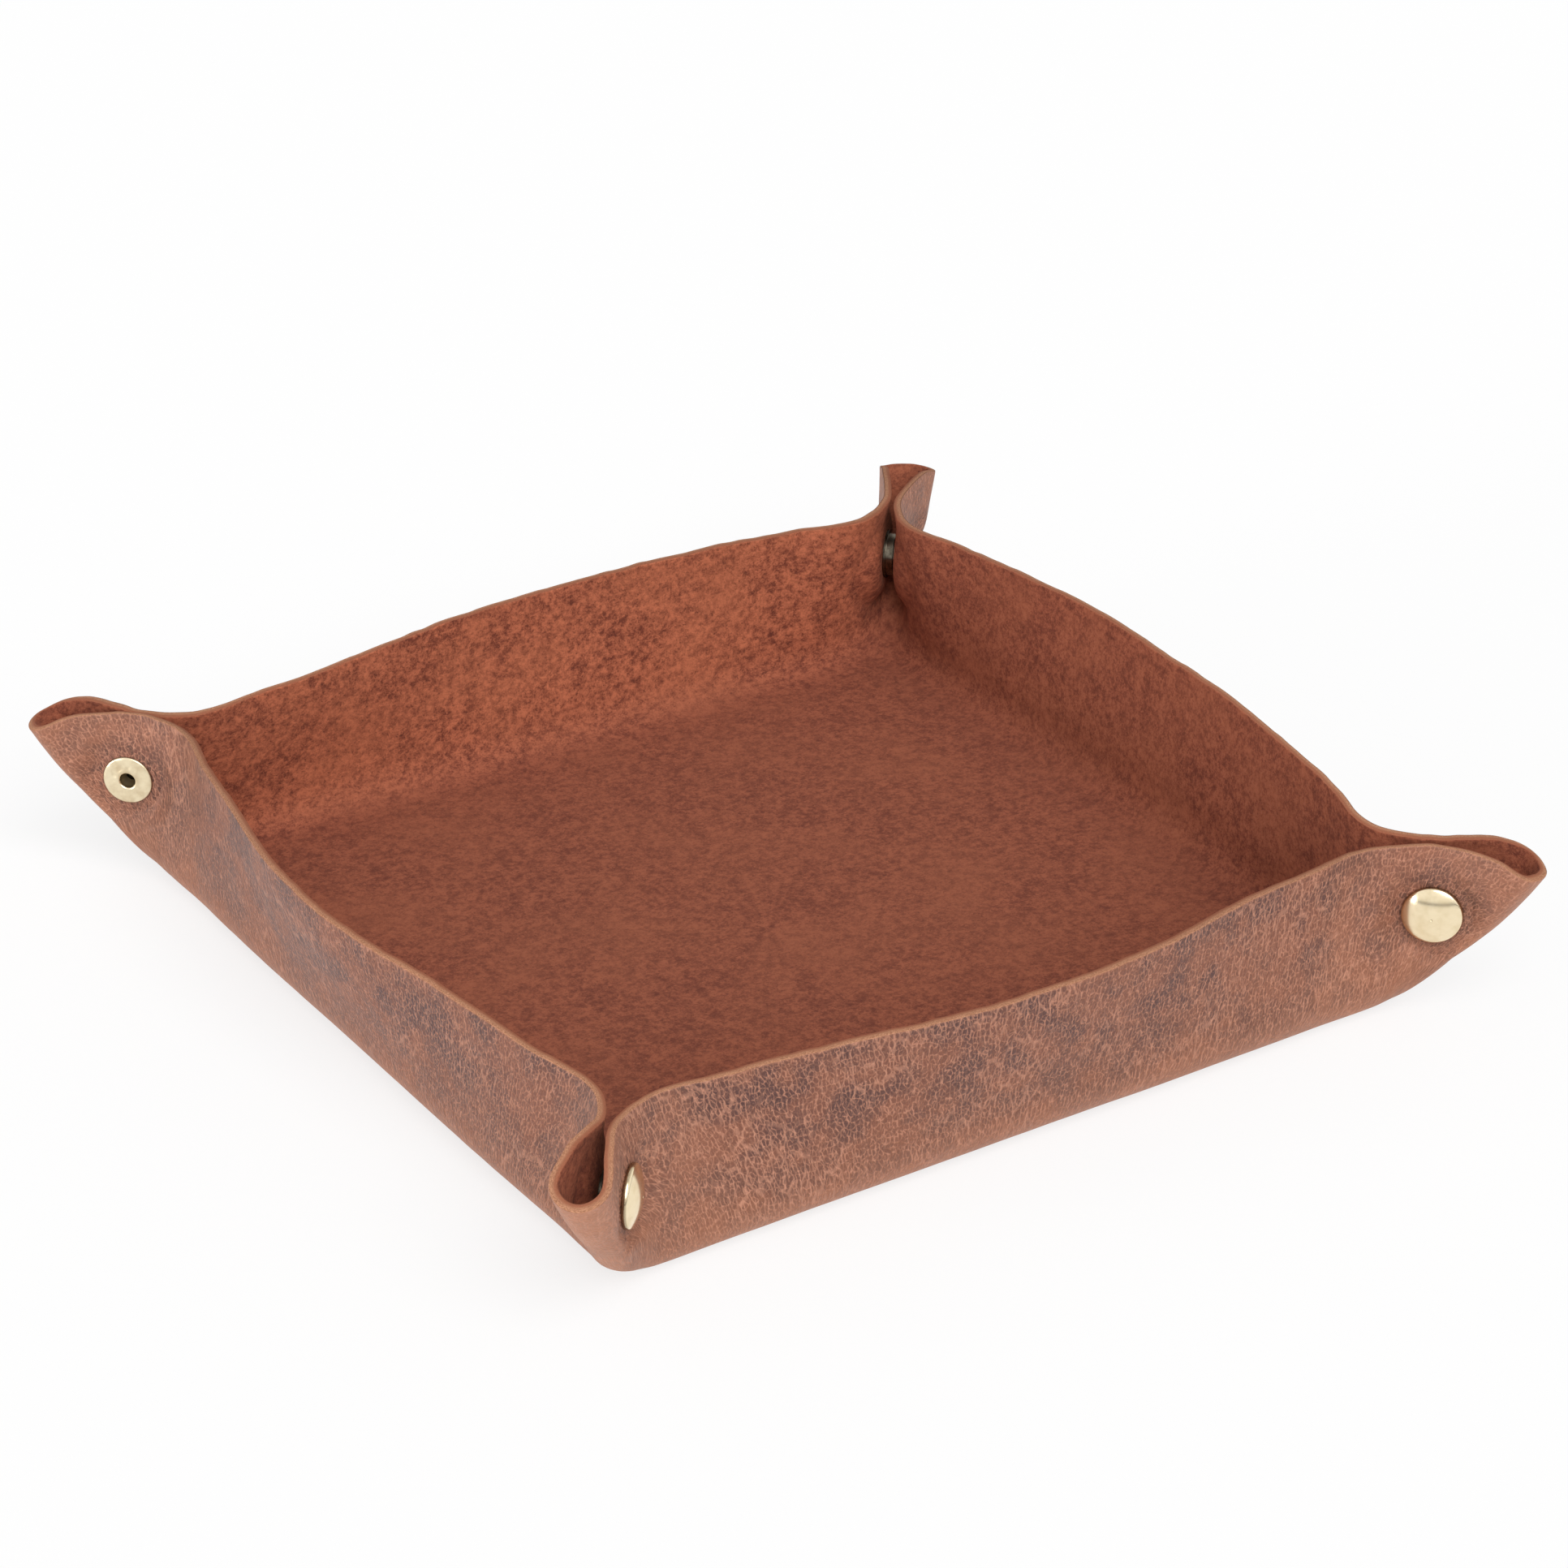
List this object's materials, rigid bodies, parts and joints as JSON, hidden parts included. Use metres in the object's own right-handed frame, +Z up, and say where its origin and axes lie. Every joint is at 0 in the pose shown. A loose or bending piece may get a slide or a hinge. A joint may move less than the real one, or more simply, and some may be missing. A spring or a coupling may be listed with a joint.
{
  "type": "valet tray",
  "caption": "Square leather valet tray whose folded walls are pinched into ears at the corners by press studs, and which opens out nearly flat.",
  "frame": {"origin": "centre of the floor panel on the table it rests on", "axes": "+Z up, X along the front and back walls, Y along the side walls, the front wall at -Y"},
  "size_m": [0.2012, 0.2012, 0.0343],
  "materials": {
    "leather": "pull-up cowhide, oiled grain side out and suede side in, raw cut edges",
    "cap_brass": "antique brass plating, polished dome",
    "snap_brass": "antique brass plating, satin",
    "spring_steel": "drawn spring wire"
  },
  "bodies": {
    "root": {"floor_panel": "leather"},
    "wall_back": {"wall_back": "leather"},
    "wall_front": {"wall_front": "leather"},
    "wall_left": {"wall_left": "leather"},
    "wall_right": {"wall_right": "leather"},
    "front_left_cap_flap": {"front_left_cap_flap": "leather", "front_left_snap_cap": "cap_brass", "front_left_snap_socket": "snap_brass", "front_left_socket_spring": "spring_steel"},
    "front_left_cap_ridge": {"front_left_cap_ridge": "leather"},
    "front_left_stud_flap": {"front_left_stud_flap": "leather", "front_left_snap_stud": "snap_brass", "front_left_eyelet_post": "snap_brass"},
    "front_left_stud_ridge": {"front_left_stud_ridge": "leather"},
    "front_right_cap_flap": {"front_right_cap_flap": "leather", "front_right_snap_cap": "cap_brass", "front_right_snap_socket": "snap_brass", "front_right_socket_spring": "spring_steel"},
    "front_right_cap_ridge": {"front_right_cap_ridge": "leather"},
    "front_right_stud_flap": {"front_right_stud_flap": "leather", "front_right_snap_stud": "snap_brass", "front_right_eyelet_post": "snap_brass"},
    "front_right_stud_ridge": {"front_right_stud_ridge": "leather"},
    "back_left_cap_flap": {"back_left_cap_flap": "leather", "back_left_snap_cap": "cap_brass", "back_left_snap_socket": "snap_brass", "back_left_socket_spring": "spring_steel"},
    "back_left_cap_ridge": {"back_left_cap_ridge": "leather"},
    "back_left_stud_flap": {"back_left_stud_flap": "leather", "back_left_snap_stud": "snap_brass", "back_left_eyelet_post": "snap_brass"},
    "back_left_stud_ridge": {"back_left_stud_ridge": "leather"},
    "back_right_cap_flap": {"back_right_cap_flap": "leather", "back_right_snap_cap": "cap_brass", "back_right_snap_socket": "snap_brass", "back_right_socket_spring": "spring_steel"},
    "back_right_cap_ridge": {"back_right_cap_ridge": "leather"},
    "back_right_stud_flap": {"back_right_stud_flap": "leather", "back_right_snap_stud": "snap_brass", "back_right_eyelet_post": "snap_brass"},
    "back_right_stud_ridge": {"back_right_stud_ridge": "leather"}
  },
  "joints": [
    {"name": "wall_front_fold", "type": "hinge", "parent": "root", "child": "wall_front", "pos_m": [0, -0.08272, 0.00214], "axis": [1, 0, 0], "range_deg": [0, 75]},
    {"name": "wall_back_fold", "type": "hinge", "parent": "root", "child": "wall_back", "pos_m": [0, 0.08272, 0.00214], "axis": [-1, 0, 0], "range_deg": [0, 75]},
    {"name": "wall_left_fold", "type": "hinge", "parent": "root", "child": "wall_left", "pos_m": [-0.08272, 0, 0.00214], "axis": [0, -1, 0], "range_deg": [0, 75]},
    {"name": "wall_right_fold", "type": "hinge", "parent": "root", "child": "wall_right", "pos_m": [0.08272, 0, 0.00214], "axis": [0, 1, 0], "range_deg": [0, 75]},
    {"name": "front_left_cap_flap_fold", "type": "hinge", "parent": "wall_front", "child": "front_left_cap_flap", "pos_m": [-0.07942, -0.08411, 0.0081], "axis": [0.0573, -0.1366, -0.989], "range_deg": [0, 32.85]},
    {"name": "front_left_cap_ridge_fold", "type": "hinge", "parent": "front_left_cap_flap", "child": "front_left_cap_ridge", "pos_m": [-0.08284, -0.08661, 0.0066], "axis": [-0.3393, -0.4701, 0.8148], "range_deg": [0, 40.68]},
    {"name": "front_left_stud_flap_fold", "type": "hinge", "parent": "wall_left", "child": "front_left_stud_flap", "pos_m": [-0.08411, -0.07942, 0.0081], "axis": [0.1366, -0.0573, 0.989], "range_deg": [0, 32.85]},
    {"name": "front_left_stud_ridge_fold", "type": "hinge", "parent": "front_left_stud_flap", "child": "front_left_stud_ridge", "pos_m": [-0.08661, -0.08284, 0.0066], "axis": [0.4701, 0.3393, -0.8148], "range_deg": [0, 40.68]},
    {"name": "front_right_cap_flap_fold", "type": "hinge", "parent": "wall_front", "child": "front_right_cap_flap", "pos_m": [0.07942, -0.08411, 0.0081], "axis": [0.0573, 0.1366, 0.989], "range_deg": [0, 32.85]},
    {"name": "front_right_cap_ridge_fold", "type": "hinge", "parent": "front_right_cap_flap", "child": "front_right_cap_ridge", "pos_m": [0.08284, -0.08661, 0.0066], "axis": [-0.3393, 0.4701, -0.8148], "range_deg": [0, 40.68]},
    {"name": "front_right_stud_flap_fold", "type": "hinge", "parent": "wall_right", "child": "front_right_stud_flap", "pos_m": [0.08411, -0.07942, 0.0081], "axis": [0.1366, 0.0573, -0.989], "range_deg": [0, 32.85]},
    {"name": "front_right_stud_ridge_fold", "type": "hinge", "parent": "front_right_stud_flap", "child": "front_right_stud_ridge", "pos_m": [0.08661, -0.08284, 0.0066], "axis": [0.4701, -0.3393, 0.8148], "range_deg": [0, 40.68]},
    {"name": "back_left_cap_flap_fold", "type": "hinge", "parent": "wall_back", "child": "back_left_cap_flap", "pos_m": [-0.07942, 0.08411, 0.0081], "axis": [-0.0573, -0.1366, 0.989], "range_deg": [0, 32.85]},
    {"name": "back_left_cap_ridge_fold", "type": "hinge", "parent": "back_left_cap_flap", "child": "back_left_cap_ridge", "pos_m": [-0.08284, 0.08661, 0.0066], "axis": [0.3393, -0.4701, -0.8148], "range_deg": [0, 40.68]},
    {"name": "back_left_stud_flap_fold", "type": "hinge", "parent": "wall_left", "child": "back_left_stud_flap", "pos_m": [-0.08411, 0.07942, 0.0081], "axis": [-0.1366, -0.0573, -0.989], "range_deg": [0, 32.85]},
    {"name": "back_left_stud_ridge_fold", "type": "hinge", "parent": "back_left_stud_flap", "child": "back_left_stud_ridge", "pos_m": [-0.08661, 0.08284, 0.0066], "axis": [-0.4701, 0.3393, 0.8148], "range_deg": [0, 40.68]},
    {"name": "back_right_cap_flap_fold", "type": "hinge", "parent": "wall_back", "child": "back_right_cap_flap", "pos_m": [0.07942, 0.08411, 0.0081], "axis": [-0.0573, 0.1366, -0.989], "range_deg": [0, 32.85]},
    {"name": "back_right_cap_ridge_fold", "type": "hinge", "parent": "back_right_cap_flap", "child": "back_right_cap_ridge", "pos_m": [0.08284, 0.08661, 0.0066], "axis": [0.3393, 0.4701, 0.8148], "range_deg": [0, 40.68]},
    {"name": "back_right_stud_flap_fold", "type": "hinge", "parent": "wall_right", "child": "back_right_stud_flap", "pos_m": [0.08411, 0.07942, 0.0081], "axis": [-0.1366, 0.0573, 0.989], "range_deg": [0, 32.85]},
    {"name": "back_right_stud_ridge_fold", "type": "hinge", "parent": "back_right_stud_flap", "child": "back_right_stud_ridge", "pos_m": [0.08661, 0.08284, 0.0066], "axis": [-0.4701, -0.3393, -0.8148], "range_deg": [0, 40.68]}
  ],
  "couplings": [
    {"joint": "wall_back_fold", "follows": "wall_front_fold", "ratio": 1},
    {"joint": "wall_left_fold", "follows": "wall_front_fold", "ratio": 1},
    {"joint": "wall_right_fold", "follows": "wall_front_fold", "ratio": 1},
    {"joint": "front_left_cap_flap_fold", "follows": "wall_front_fold", "ratio": 0.43774},
    {"joint": "front_left_cap_ridge_fold", "follows": "wall_front_fold", "ratio": 0.54207},
    {"joint": "front_left_stud_flap_fold", "follows": "wall_front_fold", "ratio": 0.43774},
    {"joint": "front_left_stud_ridge_fold", "follows": "wall_front_fold", "ratio": 0.54207},
    {"joint": "front_right_cap_flap_fold", "follows": "wall_front_fold", "ratio": 0.43774},
    {"joint": "front_right_cap_ridge_fold", "follows": "wall_front_fold", "ratio": 0.54207},
    {"joint": "front_right_stud_flap_fold", "follows": "wall_front_fold", "ratio": 0.43774},
    {"joint": "front_right_stud_ridge_fold", "follows": "wall_front_fold", "ratio": 0.54207},
    {"joint": "back_left_cap_flap_fold", "follows": "wall_front_fold", "ratio": 0.43774},
    {"joint": "back_left_cap_ridge_fold", "follows": "wall_front_fold", "ratio": 0.54207},
    {"joint": "back_left_stud_flap_fold", "follows": "wall_front_fold", "ratio": 0.43774},
    {"joint": "back_left_stud_ridge_fold", "follows": "wall_front_fold", "ratio": 0.54207},
    {"joint": "back_right_cap_flap_fold", "follows": "wall_front_fold", "ratio": 0.43774},
    {"joint": "back_right_cap_ridge_fold", "follows": "wall_front_fold", "ratio": 0.54207},
    {"joint": "back_right_stud_flap_fold", "follows": "wall_front_fold", "ratio": 0.43774},
    {"joint": "back_right_stud_ridge_fold", "follows": "wall_front_fold", "ratio": 0.54207}
  ]
}
